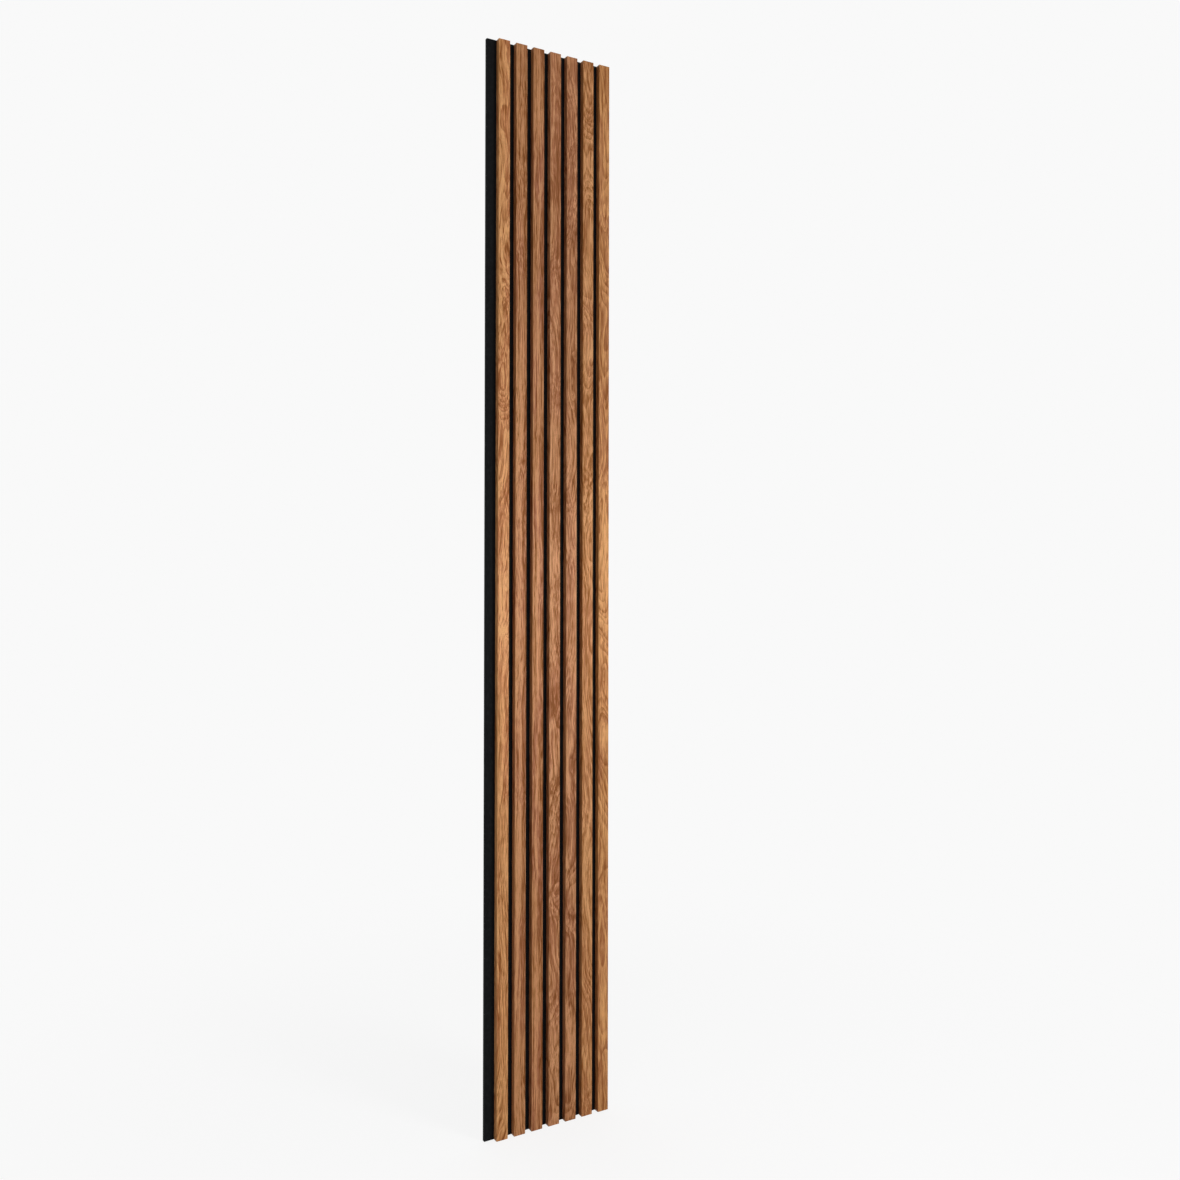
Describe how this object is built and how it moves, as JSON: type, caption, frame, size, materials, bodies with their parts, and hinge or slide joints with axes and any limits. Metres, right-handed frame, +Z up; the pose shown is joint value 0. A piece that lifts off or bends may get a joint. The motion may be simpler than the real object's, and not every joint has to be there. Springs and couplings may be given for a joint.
{
  "type": "wood slat wall panel",
  "caption": "Tall wall panel of upright wood slats stapled from behind to a black felt backing, with a bare strip of felt along the left edge.",
  "frame": {"origin": "centre of the felt backing's back face, which lies on the wall", "axes": "+X to the right seen from the room, +Y into the wall, +Z up along the slats"},
  "size_m": [0.305, 0.022, 2.4],
  "materials": {
    "felt": "pressed felt, matt black",
    "wood_slat": "satin, open pored",
    "staple_wire": "galvanised"
  },
  "bodies": {
    "root": {"felt_backing": "felt", "slat_1": "wood_slat", "slat_2": "wood_slat", "slat_3": "wood_slat", "slat_4": "wood_slat", "slat_5": "wood_slat", "slat_6": "wood_slat", "slat_7": "wood_slat", "staples": "staple_wire"}
  },
  "joints": []
}
